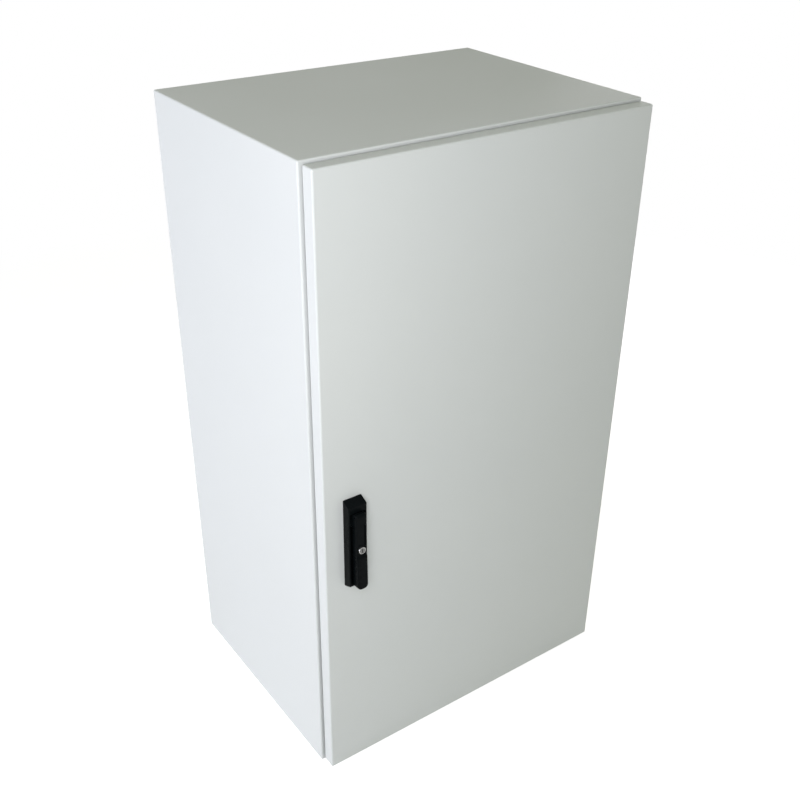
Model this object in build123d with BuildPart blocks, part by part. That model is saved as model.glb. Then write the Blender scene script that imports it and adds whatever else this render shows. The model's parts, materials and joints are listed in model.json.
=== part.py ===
from build123d import *
import os
from math import atan, cos, pi, radians, sin, sqrt, tan

# Outdoor cabinet for 19-inch equipment. X runs to the right seen from the front, Y to the rear, Z up.
# The origin is on the underside of the body, in the middle of its width and depth. Millimetres.

os.makedirs("parts", exist_ok=True)

# Body
body_width = 600
body_depth = 423
body_height = 1050
sheet = 1.5
fold_radius = 2.5
rim_width = 32
lip_reach = 16
wall_hole_radius = 5
wall_hole_side_inset = 50
wall_hole_end_inset = 75

# Door
door_gap = 5
door_depth = 22
door_sheet = 1.5
door_fold_radius = 2.8
lock_edge_inset = 4.5
hinge_edge_inset = 2.5
end_inset = 4.5
gasket_width = 10
gasket_clearance = 0.3
stiffener_width = 26
stiffener_depth = 15
stiffener_sheet = 1.5
stiffener_flange = 9
stiffener_margin = 62
stiffener_hole = 9
stiffener_pitch = 75
stiffener_from_handle = 55
stiffener_from_opening = 60

# Fasteners: nuts, studs and screws are drawn without their thread
stud_radius = 2.5
earth_stud_length = 20
earth_from_rear = 61.5
earth_z = 160
door_earth_from_stiffener = 48
door_earth_z = 150
nut_across = 8
nut_height = 4
seat_hole_radius = 2.9

# Gland plate in the floor of the body
gland_length = 380
gland_depth = 140
gland_thickness = 2
gland_overlap = 20
gland_seal = 3
gland_center_y = 60
gland_screw_radius = 2.4
gland_screw_head_radius = 4.6
gland_screw_head_height = 3.5
entry_radius = 20
entry_pitch = 95
entry_count = 3
grommet_flange = 5
grommet_flange_height = 2
grommet_dome_height = 9

# 19-inch rails and the bars that carry them. The side space puts the holes at the standard 465.1 mm
rail_side_space = 53
rack_end_space = 45
rack_unit = 44.45
rack_first_hole = 6.35
rack_hole_step = 15.875
rack_hole_inset = 14.45
rack_hole_size = 9.5
rail_sheet = 2
rail_flange = 22
rail_web = 40
rail_end_margin = 12
rail_setback = 60
rail_bolt_margin = 14
bar_sheet = 2
bar_height = 34
bar_end_gap = 41.5
bar_from_rail_end = 15.5
bar_slot_length = 150
bar_slot_height = 7
bar_slot_margin = 15
bar_stud_span = 240

# Concealed hinges
hinge_edge_to_axis = 8.5
hinge_back_to_axis = 14.5
hinge_pin_radius = 2.5
hinge_pin_clearance = 0.06
hinge_knuckle_radius = 4
hinge_arm_thickness = 2.5
hinge_arm_offset = 9.5
hinge_arm_height = 26
hinge_foot_height = 58
hinge_foot_width = 11
hinge_foot_thickness = 3
hinge_foot_offset = 8
hinge_ear_thickness = 4
hinge_ear_play = 0.4
hinge_leaf_thickness = 1.5
hinge_leaf_height = 62
hinge_leaf_reach = 14.5
hinge_leaf_edge = 5
hinge_notch_clearance = 2
hinge_notch_stop = 4.5
hinge_from_end = 150
hinge_screw_spacing = 42
arm_screw_radius = 2
arm_screw_head_radius = 3.8
hinge_stud_spacing = 50
hinge_stud_offset = 8

# Swing handle
handle_from_edge = 49
housing_below_middle = 137.5
housing_height = 159
housing_width = 32
housing_depth = 14.5
housing_wall = 2.5
housing_floor = 3
housing_corner = 2
housing_end_drop = 6.5
housing_edge = 1.2
housing_top_wall = 18.5
housing_bottom_wall = 10
handle_pad_thickness = 1
leaf_cutout_radius = 9
low_screw_rise = 18
high_screw_rise = 60
handle_screw_radius = 2
handle_screw_head = 2.5
handle_boss_radius = 4
handle_boss_height = 6
hub_rise = 124.5
hub_head_radius = 12.6
hub_head_depth = 10.5
hub_shaft_radius = 6
hub_shaft_clearance = 0.08
hub_head_clearance = 0.5
tongue_width = 7.4
tongue_step = 0.8
tongue_wall = 1.3
tongue_clearance = 0.3
cross_pin_rise = 13
cross_pin_radius = 1.5
cross_pin_clearance = 0.06
lever_back = 16
lever_thickness = 9.5
lever_width = 20
lever_draft = 4
lever_corner = 5
lever_tip_rise = 4
lever_tip_round = 3
lever_edge = 2.2
grip_step = 2
grip_swell = 3.4
scoop_depth = 2
scoop_radius = 7.2
scoop_rise = 41
lock_drop = 47
lock_radius = 6
lock_proud = 4
plug_radius = 3.7
plug_clearance = 0.05
keyway_length = 5
keyway_width = 1.4
keyway_depth = 5

# Rod drive behind the door: a pinion on the hub and two racks
gear_module = 1.25
gear_teeth = 14
gear_pressure = 25
gear_backlash = 0.2
gear_root_gap = 0.25
rod_width = 7
rod_thickness = 5
rod_behind_rim = 1
rod_end_clearance = 1.5
rod_tail = 10
rod_clearance = 0.3
rack_teeth = 9
teeth_past_hub = 1.5
square_drive = 8
case_half_height = 30
case_wall = 1.7
case_front_wall = 2.5
case_cover = 2
pedestal_half_width = 14
cam_thickness = 3
cam_half_width = 7
cam_side_clearance = 2
cam_hub_radius = 9
cam_bolt_radius = 6.4
cam_bolt_head = 3
guide_height = 14
guide_wall = 1.8
guide_end_margin = 60
guide_base_thickness = 3
guide_foot_width = 28
guide_foot_shift = 2
guide_post_width = 10
guide_post_offset = 9

# Places worked out from the sizes above
rim_y = -body_depth / 2
rear_y = body_depth / 2
door_back_y = rim_y - door_gap
door_face_y = door_back_y - door_depth
leaf_y = door_face_y + door_sheet
middle_z = body_height / 2
wall_x = body_width / 2 - sheet
opening_width = body_width - 2 * rim_width
opening_height = body_height - 2 * rim_width
door_left = -body_width / 2 + lock_edge_inset
door_right = body_width / 2 - hinge_edge_inset
door_width = door_right - door_left
door_middle_x = (door_left + door_right) / 2
door_height = body_height - 2 * end_inset
hinge_heights = [hinge_from_end, body_height - hinge_from_end]
handle_x = door_left + handle_from_edge
housing_bottom = middle_z - housing_below_middle
hub_z = housing_bottom + hub_rise
cross_pin_z = hub_z + cross_pin_rise
lock_z = hub_z - lock_drop
lever_tip = housing_bottom + lever_tip_rise


def facing_front(y):
    """The plane across the cabinet at y: its own x is X, its own y is Z, and its normal is forward."""
    return Plane.XZ.offset(-y)


# Body shell: the folded wrap, the rear wall, the flat front rim and the sealing lip, welded into one
gland_hole_length = gland_length - 2 * gland_overlap
gland_hole_depth = gland_depth - 2 * gland_overlap
gland_screw_span_x = gland_length - gland_overlap
gland_screw_span_y = gland_depth - gland_overlap
wall_hole_span = body_width - 2 * wall_hole_side_inset
wall_hole_rise = body_height - 2 * wall_hole_end_inset

with BuildPart() as body_shell:
    with BuildSketch():
        Rectangle(body_width, body_depth)
    extrude(amount=body_height)
    folded_edges = body_shell.edges().filter_by(Axis.Y) + body_shell.faces().sort_by(Axis.Y)[0].edges()
    fillet(folded_edges, fold_radius)
    offset(amount=-sheet, mode=Mode.SUBTRACT)
    with BuildSketch(facing_front(rim_y + sheet)):
        with Locations((0, middle_z)):
            Rectangle(opening_width, opening_height)
    extrude(amount=sheet, mode=Mode.SUBTRACT)
    with BuildSketch(facing_front(rim_y)):
        with Locations((0, middle_z)):
            Rectangle(opening_width + 2 * sheet, opening_height + 2 * sheet)
            Rectangle(opening_width, opening_height, mode=Mode.SUBTRACT)
    extrude(amount=lip_reach)
    with BuildSketch(facing_front(rear_y)):
        with Locations((0, middle_z)):
            with GridLocations(wall_hole_span, wall_hole_rise, 2, 2):
                Circle(wall_hole_radius)
    extrude(amount=sheet, mode=Mode.SUBTRACT)
    with BuildSketch():
        with Locations((0, gland_center_y)):
            Rectangle(gland_hole_length, gland_hole_depth)
            with GridLocations(gland_screw_span_x, gland_screw_span_y, 2, 2):
                Circle(gland_screw_radius)
    extrude(amount=sheet, mode=Mode.SUBTRACT)
body_shell.part.label = "body_shell"
export_step(body_shell.part, "parts/body_shell.step")

# Gland plate, its foam seal and its screws, fitted from inside
gland_seal_z = sheet
gland_plate_z = gland_seal_z + gland_seal
gland_screw_z = gland_plate_z + gland_thickness

with BuildPart() as gland_gasket:
    with BuildSketch(Plane.XY.offset(gland_seal_z)):
        with Locations((0, gland_center_y)):
            Rectangle(gland_length, gland_depth)
            Rectangle(gland_hole_length, gland_hole_depth, mode=Mode.SUBTRACT)
            with GridLocations(gland_screw_span_x, gland_screw_span_y, 2, 2):
                Circle(gland_screw_radius, mode=Mode.SUBTRACT)
    extrude(amount=gland_seal)
gland_gasket.part.label = "gland_gasket"
export_step(gland_gasket.part, "parts/gland_gasket.step")

with BuildPart() as gland_plate:
    with BuildSketch(Plane.XY.offset(gland_plate_z)):
        with Locations((0, gland_center_y)):
            Rectangle(gland_length, gland_depth)
            with GridLocations(gland_screw_span_x, gland_screw_span_y, 2, 2):
                Circle(gland_screw_radius, mode=Mode.SUBTRACT)
            with GridLocations(entry_pitch, 0, entry_count, 1):
                Circle(entry_radius, mode=Mode.SUBTRACT)
    extrude(amount=gland_thickness)
gland_plate.part.label = "gland_plate"
export_step(gland_plate.part, "parts/gland_plate.step")

with BuildPart() as gland_screws:
    with BuildSketch():
        with Locations((0, gland_center_y)):
            with GridLocations(gland_screw_span_x, gland_screw_span_y, 2, 2):
                Circle(gland_screw_radius)
    extrude(amount=gland_screw_z)
    with BuildSketch(Plane.XY.offset(gland_screw_z)):
        with Locations((0, gland_center_y)):
            with GridLocations(gland_screw_span_x, gland_screw_span_y, 2, 2):
                RegularPolygon(gland_screw_head_radius, 6)
    extrude(amount=gland_screw_head_height)
gland_screws.part.label = "gland_screws"
export_step(gland_screws.part, "parts/gland_screws.step")

# Membrane grommets: a groove holds the plate's edge and a stepped dome closes the hole
dome_radius = entry_radius - grommet_flange

with BuildPart() as entry_grommets:
    for place in GridLocations(entry_pitch, 0, entry_count, 1):
        grommet_axis = Plane.XZ.offset(-gland_center_y).move(place)
        with BuildSketch(grommet_axis):
            with BuildLine():
                Polyline(
                    (0, gland_plate_z - grommet_flange_height),
                    (entry_radius + grommet_flange, gland_plate_z - grommet_flange_height),
                    (entry_radius + grommet_flange, gland_plate_z),
                    (entry_radius, gland_plate_z),
                    (entry_radius, gland_screw_z),
                    (entry_radius + grommet_flange, gland_screw_z),
                    (entry_radius + grommet_flange, gland_screw_z + grommet_flange_height),
                    (dome_radius, gland_screw_z + grommet_flange_height),
                    (dome_radius, gland_screw_z + grommet_dome_height),
                    (0, gland_screw_z + grommet_dome_height),
                    close=True,
                )
            make_face()
        revolve(axis=Axis((place.position.X, gland_center_y, 0), (0, 0, 1)))
entry_grommets.part.label = "entry_grommets"
export_step(entry_grommets.part, "parts/entry_grommets.step")

# Rack rails: an angle with three square holes to each rack unit in its front flange
rack_units = int((opening_height - 2 * rack_end_space) / rack_unit)
rail_length = rack_units * rack_unit + 2 * rail_end_margin
rail_bottom_z = middle_z - rail_length / 2
rail_front_y = rim_y + rail_setback
rail_web_x = body_width / 2 - rail_side_space
rack_hole_span = 2 * (rail_web_x - rack_hole_inset)
rail_bolt_y = rail_front_y + rail_web - rail_bolt_margin
bar_rise = rail_length / 2 - bar_from_rail_end
bar_heights = [middle_z - bar_rise, middle_z, middle_z + bar_rise]

for side, hand in [("left", -1), ("right", 1)]:
    with BuildPart() as rack_rail:
        with BuildSketch(Plane.XY.offset(rail_bottom_z)):
            with Locations((hand * (rail_web_x - rail_flange / 2), rail_front_y + rail_sheet / 2)):
                Rectangle(rail_flange, rail_sheet)
            with Locations((hand * (rail_web_x - rail_sheet / 2), rail_front_y + rail_web / 2)):
                Rectangle(rail_sheet, rail_web)
        extrude(amount=rail_length)
        with BuildSketch(facing_front(rail_front_y + rail_sheet)):
            for step in range(3):
                first = rail_bottom_z + rail_end_margin + rack_first_hole + step * rack_hole_step
                middle = first + (rack_units - 1) * rack_unit / 2
                with Locations((hand * rack_hole_span / 2, middle)):
                    with GridLocations(0, rack_unit, 1, rack_units):
                        Rectangle(rack_hole_size, rack_hole_size)
        extrude(amount=rail_sheet, mode=Mode.SUBTRACT)
        with BuildSketch(Plane.YZ.offset(hand * rail_web_x)):
            for height in bar_heights:
                with Locations((rail_bolt_y, height)):
                    Circle(seat_hole_radius)
        extrude(amount=-hand * rail_sheet, mode=Mode.SUBTRACT)
    rack_rail.part.label = f"rack_rail_{side}"
    export_step(rack_rail.part, f"parts/rack_rail_{side}.step")

# Depth bars: channels on the side walls, slotted so that the rails can be set nearer or further back
bar_reach = wall_x - rail_web_x
bar_length = body_depth - 2 * bar_end_gap
bar_slot_y = (bar_slot_length - bar_length) / 2 + bar_slot_margin
bar_levels = [("bottom", bar_heights[0]), ("middle", bar_heights[1]), ("top", bar_heights[2])]

for side, hand in [("left", -1), ("right", 1)]:
    for level, height in bar_levels:
        with BuildPart() as depth_bar:
            with BuildSketch(facing_front(bar_length / 2)):
                with Locations((hand * (rail_web_x + bar_sheet / 2), height)):
                    Rectangle(bar_sheet, bar_height)
                with Locations((hand * (wall_x - bar_sheet / 2), height)):
                    Rectangle(bar_sheet, bar_height)
                with Locations((hand * (rail_web_x + bar_reach / 2), height - (bar_height - bar_sheet) / 2)):
                    Rectangle(bar_reach, bar_sheet)
            extrude(amount=bar_length)
            with BuildSketch(Plane.YZ.offset(hand * rail_web_x)):
                with Locations((bar_slot_y, height)):
                    SlotOverall(bar_slot_length, bar_slot_height)
            extrude(amount=hand * bar_sheet, mode=Mode.SUBTRACT)
        depth_bar.part.label = f"depth_bar_{side}_{level}"
        export_step(depth_bar.part, f"parts/depth_bar_{side}_{level}.step")

# Cap nuts that hold the bars on studs welded to the side walls
with BuildPart() as bar_nuts:
    for hand in [-1, 1]:
        with BuildSketch(Plane.YZ.offset(hand * (wall_x - bar_sheet))):
            for height in bar_heights:
                with Locations((0, height)):
                    with GridLocations(bar_stud_span, 0, 2, 1):
                        RegularPolygon(nut_across / 2, 6, major_radius=False)
        extrude(amount=-hand * nut_height)
bar_nuts.part.label = "bar_nuts"
export_step(bar_nuts.part, "parts/bar_nuts.step")

# Earth stud on the left wall and its nut
earth_y = rear_y - earth_from_rear

with BuildPart() as body_earth_stud:
    with BuildSketch(Plane.YZ.offset(-wall_x)):
        with Locations((earth_y, earth_z)):
            Circle(stud_radius)
    extrude(amount=earth_stud_length)
body_earth_stud.part.label = "body_earth_stud"
export_step(body_earth_stud.part, "parts/body_earth_stud.step")

with BuildPart() as body_earth_nut:
    with BuildSketch(Plane.YZ.offset(-wall_x)):
        with Locations((earth_y, earth_z)):
            RegularPolygon(nut_across / 2, 6, major_radius=False)
            Circle(stud_radius, mode=Mode.SUBTRACT)
    extrude(amount=nut_height)
body_earth_nut.part.label = "body_earth_nut"
export_step(body_earth_nut.part, "parts/body_earth_nut.step")

# Bolts and cap nuts that clamp the rails to the bars
bolt_stack = rail_sheet + bar_sheet

with BuildPart() as rail_bolts:
    for hand in [-1, 1]:
        with BuildSketch(Plane.YZ.offset(hand * (rail_web_x - rail_sheet))):
            for height in bar_heights:
                with Locations((rail_bolt_y, height)):
                    RegularPolygon(nut_across / 2, 6, major_radius=False)
        extrude(amount=-hand * nut_height)
        with BuildSketch(Plane.YZ.offset(hand * (rail_web_x - rail_sheet))):
            for height in bar_heights:
                with Locations((rail_bolt_y, height)):
                    Circle(stud_radius)
        extrude(amount=hand * bolt_stack)
rail_bolts.part.label = "rail_bolts"
export_step(rail_bolts.part, "parts/rail_bolts.step")

with BuildPart() as rail_nuts:
    for hand in [-1, 1]:
        with BuildSketch(Plane.YZ.offset(hand * (rail_web_x + bar_sheet))):
            for height in bar_heights:
                with Locations((rail_bolt_y, height)):
                    RegularPolygon(nut_across / 2, 6, major_radius=False)
        extrude(amount=hand * nut_height)
rail_nuts.part.label = "rail_nuts"
export_step(rail_nuts.part, "parts/rail_nuts.step")

# Door leaf: a folded tray, notched in its hinge-side edge where the hinge arms pass
hinge_x = door_right - hinge_edge_to_axis
hinge_y = door_back_y - hinge_back_to_axis
notch_height = hinge_arm_height + 2 * hinge_notch_clearance
notch_depth = hinge_back_to_axis + hinge_notch_stop
handle_screw_heights = [housing_bottom + low_screw_rise, housing_bottom + high_screw_rise]

with BuildPart() as door_leaf:
    with BuildSketch(facing_front(door_back_y)):
        with Locations((door_middle_x, middle_z)):
            Rectangle(door_width, door_height)
    extrude(amount=door_depth)
    outer_edges = door_leaf.edges() - door_leaf.faces().sort_by(Axis.Y)[-1].edges()
    fillet(outer_edges, door_fold_radius)
    offset(amount=-door_sheet, openings=door_leaf.faces().sort_by(Axis.Y)[-1])
    with BuildSketch(Plane.YZ.offset(door_right - 2 * door_sheet)):
        for height in hinge_heights:
            with Locations((door_back_y - notch_depth / 2, height)):
                Rectangle(notch_depth, notch_height)
    extrude(amount=2 * door_sheet, mode=Mode.SUBTRACT)
    with BuildSketch(facing_front(leaf_y)):
        with Locations((handle_x, hub_z)):
            Circle(leaf_cutout_radius)
        for height in handle_screw_heights:
            with Locations((handle_x, height)):
                Circle(handle_screw_radius)
    extrude(amount=door_sheet, mode=Mode.SUBTRACT)
door_leaf.part.label = "door_leaf"
export_step(door_leaf.part, "parts/door_leaf.step")

# Foam gasket on the leaf, opposite the sealing lip
gasket_depth = rim_y - lip_reach - gasket_clearance - leaf_y

with BuildPart() as door_gasket:
    with BuildSketch(facing_front(leaf_y + gasket_depth)):
        with Locations((0, middle_z)):
            Rectangle(
                opening_width + sheet + gasket_width,
                opening_height + sheet + gasket_width,
            )
            Rectangle(
                opening_width + sheet - gasket_width,
                opening_height + sheet - gasket_width,
                mode=Mode.SUBTRACT,
            )
    extrude(amount=gasket_depth)
door_gasket.part.label = "door_gasket"
export_step(door_gasket.part, "parts/door_gasket.step")

# Door stiffeners: hat sections with square fixing holes, welded upright on the leaf
stiffener_length = opening_height - 2 * stiffener_margin
stiffener_count = int((stiffener_length - 2 * stiffener_hole) / stiffener_pitch)
stiffener_places = [
    ("left", handle_x + stiffener_from_handle),
    ("right", opening_width / 2 - stiffener_from_opening),
]

for side, stiffener_x in stiffener_places:
    with BuildPart() as door_stiffener:
        with BuildSketch(Plane.XY.offset(middle_z - stiffener_length / 2)):
            with Locations((stiffener_x, leaf_y + stiffener_depth / 2)):
                Rectangle(stiffener_width, stiffener_depth)
                Rectangle(
                    stiffener_width - 2 * stiffener_sheet,
                    stiffener_depth,
                    mode=Mode.SUBTRACT,
                )
            with Locations((stiffener_x, leaf_y + stiffener_depth - stiffener_sheet / 2)):
                Rectangle(stiffener_width, stiffener_sheet)
            with Locations((stiffener_x, leaf_y + stiffener_sheet / 2)):
                with GridLocations(stiffener_width + stiffener_flange - stiffener_sheet, 0, 2, 1):
                    Rectangle(stiffener_flange, stiffener_sheet)
        extrude(amount=stiffener_length)
        with BuildSketch(facing_front(leaf_y + stiffener_depth)):
            with Locations((stiffener_x, middle_z)):
                with GridLocations(0, stiffener_pitch, 1, stiffener_count):
                    Rectangle(stiffener_hole, stiffener_hole)
        extrude(amount=stiffener_sheet, mode=Mode.SUBTRACT)
    door_stiffener.part.label = f"door_stiffener_{side}"
    export_step(door_stiffener.part, f"parts/door_stiffener_{side}.step")

# Hinges: an arm on the rim reaches through the notch to a pin held by two ears on the leaf
foot_front_y = rim_y - hinge_foot_thickness
foot_left_x = hinge_x - hinge_foot_offset - hinge_foot_width
foot_middle_x = foot_left_x + hinge_foot_width / 2
arm_left_x = hinge_x - hinge_arm_offset - hinge_arm_thickness
arm_front_y = hinge_y - hinge_arm_thickness / 2
ear_stack = hinge_arm_height + 2 * (hinge_ear_thickness + hinge_ear_play)
leaf_plate_y = leaf_y + hinge_leaf_thickness
leaf_plate_left_x = hinge_x - hinge_leaf_reach
leaf_plate_width = hinge_leaf_reach + hinge_leaf_edge
leaf_plate_middle_x = leaf_plate_left_x + leaf_plate_width / 2
ear_radius = hinge_y - leaf_plate_y

for number, height in enumerate(hinge_heights, start=1):
    arm_bottom_z = height - hinge_arm_height / 2
    with BuildPart() as hinge_arm:
        with BuildSketch(facing_front(rim_y)):
            with Locations((foot_middle_x, height)):
                Rectangle(hinge_foot_width, hinge_foot_height)
        extrude(amount=hinge_foot_thickness)
        with BuildSketch(Plane.XY.offset(arm_bottom_z)):
            with BuildLine():
                Polyline(
                    (arm_left_x, foot_front_y),
                    (arm_left_x, arm_front_y),
                    (hinge_x, arm_front_y),
                    (hinge_x, arm_front_y + hinge_arm_thickness),
                    (arm_left_x + hinge_arm_thickness, arm_front_y + hinge_arm_thickness),
                    (arm_left_x + hinge_arm_thickness, foot_front_y),
                    close=True,
                )
            make_face()
            with Locations((hinge_x, hinge_y)):
                Circle(hinge_knuckle_radius)
                Circle(hinge_pin_radius + hinge_pin_clearance, mode=Mode.SUBTRACT)
        extrude(amount=hinge_arm_height)
        with Locations(facing_front(foot_front_y)):
            with Locations((foot_middle_x, height)):
                with GridLocations(0, hinge_screw_spacing, 1, 2):
                    CounterSinkHole(arm_screw_radius, arm_screw_head_radius)
    hinge_arm.part.label = f"hinge_arm_{number}"
    export_step(hinge_arm.part, f"parts/hinge_arm_{number}.step")

    with BuildPart() as hinge_leaf:
        with BuildSketch(facing_front(leaf_plate_y)):
            with Locations((leaf_plate_middle_x, height)):
                Rectangle(leaf_plate_width, hinge_leaf_height)
        extrude(amount=hinge_leaf_thickness)
        for ear_z in [height - ear_stack / 2, height + ear_stack / 2 - hinge_ear_thickness]:
            with BuildSketch(Plane.XY.offset(ear_z)):
                with Locations((hinge_x, hinge_y)):
                    Circle(ear_radius)
                with Locations((hinge_x - ear_radius, hinge_y - ear_radius / 2)):
                    Rectangle(2 * ear_radius, ear_radius)
                with Locations((hinge_x, hinge_y)):
                    Circle(hinge_pin_radius, mode=Mode.SUBTRACT)
            extrude(amount=hinge_ear_thickness)
    hinge_leaf.part.label = f"hinge_leaf_{number}"
    export_step(hinge_leaf.part, f"parts/hinge_leaf_{number}.step")

    with BuildPart() as hinge_pin:
        with BuildSketch(Plane.XY.offset(height - ear_stack / 2)):
            with Locations((hinge_x, hinge_y)):
                Circle(hinge_pin_radius)
        extrude(amount=ear_stack)
        with BuildSketch(Plane.XY.offset(height + ear_stack / 2)):
            with Locations((hinge_x, hinge_y)):
                Circle(hinge_knuckle_radius)
        extrude(amount=hinge_pin_radius / 2)
    hinge_pin.part.label = f"hinge_pin_{number}"
    export_step(hinge_pin.part, f"parts/hinge_pin_{number}.step")

with BuildPart() as hinge_arm_screws:
    for height in hinge_heights:
        for screw_z in [height - hinge_screw_spacing / 2, height + hinge_screw_spacing / 2]:
            screw_sketch = Plane(origin=(foot_middle_x, 0, screw_z), x_dir=(1, 0, 0), z_dir=(0, 0, 1))
            with BuildSketch(screw_sketch):
                with BuildLine():
                    Polyline(
                        (0, foot_front_y),
                        (arm_screw_head_radius, foot_front_y),
                        (arm_screw_radius, foot_front_y + arm_screw_head_radius - arm_screw_radius),
                        (arm_screw_radius, rim_y),
                        (0, rim_y),
                        close=True,
                    )
                make_face()
            revolve(axis=Axis((foot_middle_x, 0, screw_z), (0, 1, 0)))
hinge_arm_screws.part.label = "hinge_arm_screws"
export_step(hinge_arm_screws.part, "parts/hinge_arm_screws.step")

# Handle housing: a die-cast dish with both ends sloping, on a thin pad
housing_middle_z = housing_bottom + housing_height / 2
housing_top = housing_bottom + housing_height
housing_back_y = door_face_y - handle_pad_thickness
housing_front_y = housing_back_y - housing_depth
dish_floor_y = housing_back_y - housing_floor
dish_bottom = housing_bottom + housing_bottom_wall
dish_top = housing_top - housing_top_wall
dish_width = housing_width - 2 * housing_wall

with BuildPart() as handle_pad:
    with BuildSketch(facing_front(door_face_y)):
        with Locations((handle_x, housing_middle_z)):
            RectangleRounded(housing_width, housing_height, housing_corner)
        with Locations((handle_x, hub_z)):
            Circle(leaf_cutout_radius, mode=Mode.SUBTRACT)
        for height in handle_screw_heights:
            with Locations((handle_x, height)):
                Circle(handle_screw_radius, mode=Mode.SUBTRACT)
    extrude(amount=handle_pad_thickness)
handle_pad.part.label = "handle_pad"
export_step(handle_pad.part, "parts/handle_pad.step")

with BuildPart() as handle_housing:
    with BuildSketch(facing_front(housing_back_y)):
        with Locations((handle_x, housing_middle_z)):
            RectangleRounded(housing_width, housing_height, housing_corner)
    extrude(amount=housing_depth)
    with BuildSketch(Plane.YZ.offset(handle_x - housing_width)):
        for end_z, way in [(housing_top, -1), (housing_bottom, 1)]:
            Polygon(
                (housing_back_y, end_z),
                (housing_front_y, end_z + way * housing_end_drop),
                (housing_front_y, end_z),
            )
    extrude(amount=2 * housing_width, mode=Mode.SUBTRACT)
    front_rim = handle_housing.faces().sort_by(Axis.Y)[0].edges()
    slopes = handle_housing.faces().filter_by(lambda face: abs(face.normal_at().Z) > 0.5)
    slope_sides = slopes.edges() - handle_housing.faces().sort_by(Axis.Y)[-1].edges()
    fillet(front_rim + (slope_sides - front_rim), housing_edge)
    with BuildSketch(facing_front(dish_floor_y)):
        with Locations((handle_x, (dish_bottom + dish_top) / 2)):
            Rectangle(dish_width, dish_top - dish_bottom)
    extrude(amount=housing_depth, mode=Mode.SUBTRACT)
    with BuildSketch(facing_front(housing_back_y)):
        with Locations((handle_x, hub_z)):
            Circle(hub_shaft_radius + hub_shaft_clearance)
    extrude(amount=housing_floor, mode=Mode.SUBTRACT)
    with BuildSketch(facing_front(dish_floor_y)):
        for height in handle_screw_heights:
            with Locations((handle_x, height)):
                Circle(handle_boss_radius)
    extrude(amount=handle_boss_height)
    with BuildSketch(facing_front(housing_back_y)):
        for height in handle_screw_heights:
            with Locations((handle_x, height)):
                Circle(handle_screw_radius)
    extrude(amount=housing_floor + handle_boss_height / 2, mode=Mode.SUBTRACT)
handle_housing.part.label = "handle_housing"
export_step(handle_housing.part, "parts/handle_housing.step")

with BuildPart() as handle_screws:
    for height in handle_screw_heights:
        with BuildSketch(facing_front(leaf_y + handle_screw_head)):
            with Locations((handle_x, height)):
                RegularPolygon(nut_across / 2, 6, major_radius=False)
        extrude(amount=handle_screw_head)
        with BuildSketch(facing_front(leaf_y)):
            with Locations((handle_x, height)):
                Circle(handle_screw_radius)
        extrude(amount=leaf_y - housing_back_y + housing_floor + handle_boss_height / 2)
handle_screws.part.label = "handle_screws"
export_step(handle_screws.part, "parts/handle_screws.step")

# Hub: a head in the dish, a tongue forward to the lever's pin, a round shaft and a square drive behind
hub_back_y = dish_floor_y - hub_head_clearance
hub_front_y = hub_back_y - hub_head_depth
lever_back_y = door_face_y - lever_back
lever_front_y = lever_back_y - lever_thickness
pin_y = (lever_back_y + lever_front_y) / 2
tongue_radius = cross_pin_radius + tongue_wall
rod_front_y = rim_y + sheet + rod_behind_rim
rod_back_y = rod_front_y + rod_thickness
case_floor_y = rod_front_y - rod_clearance
case_back_y = rod_back_y + rod_clearance
cover_back_y = case_back_y + case_cover
square_end_y = cover_back_y + rod_clearance + cam_thickness

with BuildPart() as hub:
    with BuildSketch(facing_front(hub_back_y)):
        with Locations((handle_x, hub_z)):
            Circle(hub_head_radius)
    extrude(amount=hub_head_depth)
    with BuildSketch(facing_front(case_floor_y)):
        with Locations((handle_x, hub_z)):
            Circle(hub_shaft_radius)
    extrude(amount=case_floor_y - hub_back_y)
    with BuildSketch(facing_front(square_end_y)):
        with Locations((handle_x, hub_z)):
            Rectangle(square_drive, square_drive)
    extrude(amount=square_end_y - case_floor_y)
    with BuildSketch(Plane.YZ.offset(handle_x - tongue_width / 2)):
        Polygon(
            (hub_front_y, hub_z - hub_head_radius / 2),
            (pin_y, cross_pin_z - tongue_radius),
            (pin_y, cross_pin_z + tongue_radius),
            (lever_back_y, hub_z + hub_head_radius),
            (hub_front_y, hub_z + hub_head_radius - tongue_step),
        )
        with Locations((pin_y, cross_pin_z)):
            Circle(tongue_radius)
            Circle(cross_pin_radius, mode=Mode.SUBTRACT)
    extrude(amount=tongue_width)
hub.part.label = "hub"
export_step(hub.part, "parts/hub.step")

# Lever: a drafted die-cast grip, round at both ends, with a sunk seat for the lock and a fuller lower half
pivot_radius = lever_thickness / 2
pocket_radius = tongue_radius + tongue_clearance
scoop_y = lever_front_y + scoop_depth
grip_y = lever_front_y - grip_step
swell_y = lever_front_y - grip_swell
scoop_bottom = lock_z - scoop_radius
grip_top = scoop_bottom - lever_thickness

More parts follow.
